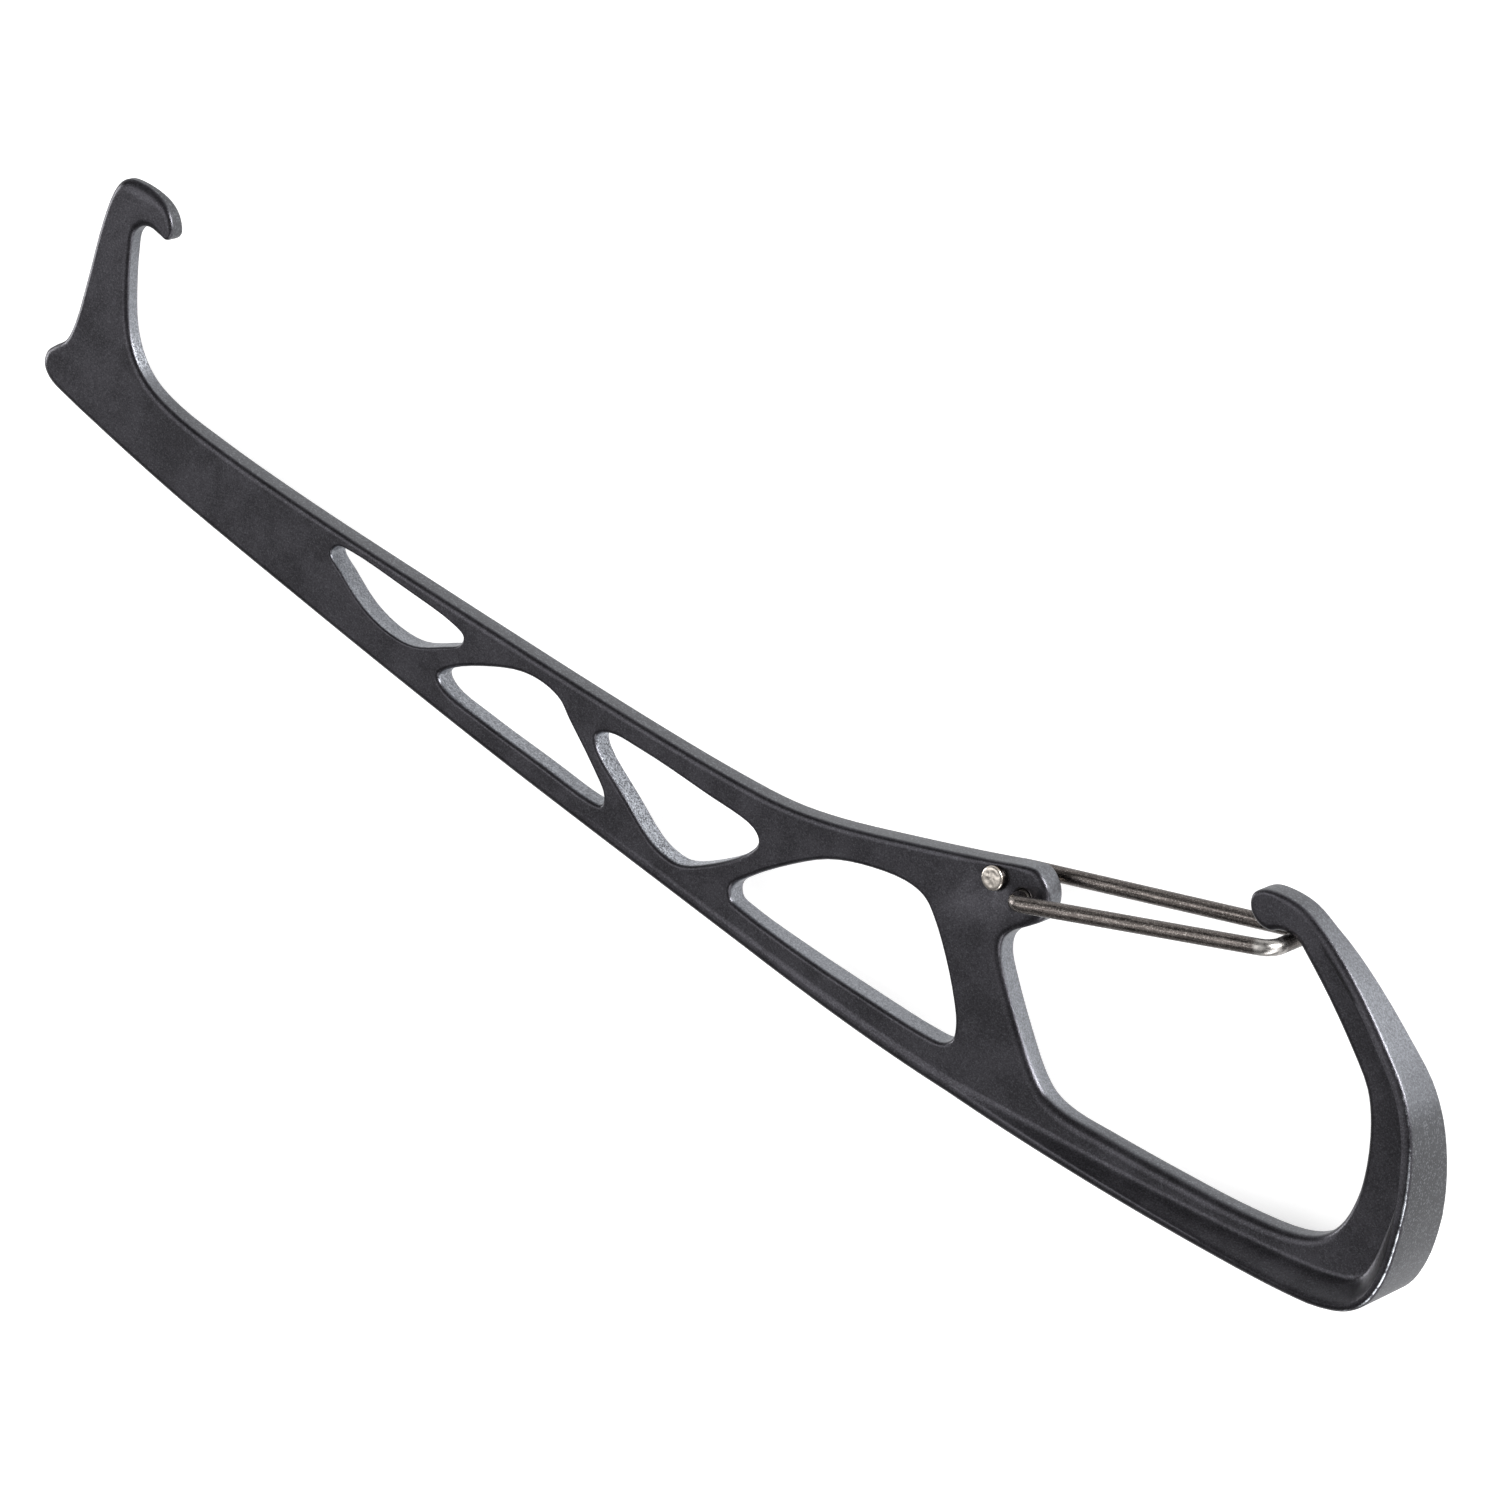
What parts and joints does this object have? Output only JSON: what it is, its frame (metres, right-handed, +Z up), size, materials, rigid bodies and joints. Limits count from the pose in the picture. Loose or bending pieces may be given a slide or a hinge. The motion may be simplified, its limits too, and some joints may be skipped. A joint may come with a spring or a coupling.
{
  "type": "nut tool",
  "caption": "Flat forged climbing nut tool with a hooked tip, a pierced blade and a clip-in loop closed by a sprung wire gate.",
  "frame": {"origin": "middle of the tool in plan, at the lowest point of the tool lying flat, which is the under side of the gate's far leg", "axes": "+X along the tool from the hook to the clip-in loop, +Y from the straight back to the gate side, +Z up through the thickness, out of the face that the picture shows"},
  "size_m": [0.2082, 0.045, 0.0101],
  "materials": {
    "forging": "shot-blasted and anodised charcoal grey, fine metallic sparkle",
    "gate_wire": "drawn stainless wire, satin, lengthwise streaks",
    "gate_tails": "peened stainless wire end, bright and dimpled"
  },
  "bodies": {
    "forging": {"forged_body": "forging"},
    "gate": {"gate_wire": "gate_wire"},
    "tail_near": {"gate_tail_near": "gate_tails"},
    "tail_far": {"gate_tail_far": "gate_tails"}
  },
  "joints": [
    {"name": "gate_hinge", "type": "hinge", "parent": "forging", "child": "gate", "pos_m": [0.04284, 0.00425, 0.00505], "axis": [0, 0, -1], "range_deg": [0, 28], "stiffness_Nm_per_rad": 0.4, "springref_deg": -11.46},
    {"name": "tail_near_turn", "type": "hinge", "parent": "forging", "child": "tail_near", "pos_m": [0.04489, 0.0041, 0.00505], "axis": [0, 0, -1], "range_deg": [0, 28]},
    {"name": "tail_far_turn", "type": "hinge", "parent": "forging", "child": "tail_far", "pos_m": [0.04079, 0.0044, 0.00505], "axis": [0, 0, -1], "range_deg": [0, 28]}
  ],
  "couplings": [
    {"joint": "tail_near_turn", "follows": "gate_hinge", "ratio": 1},
    {"joint": "tail_far_turn", "follows": "gate_hinge", "ratio": 1}
  ]
}
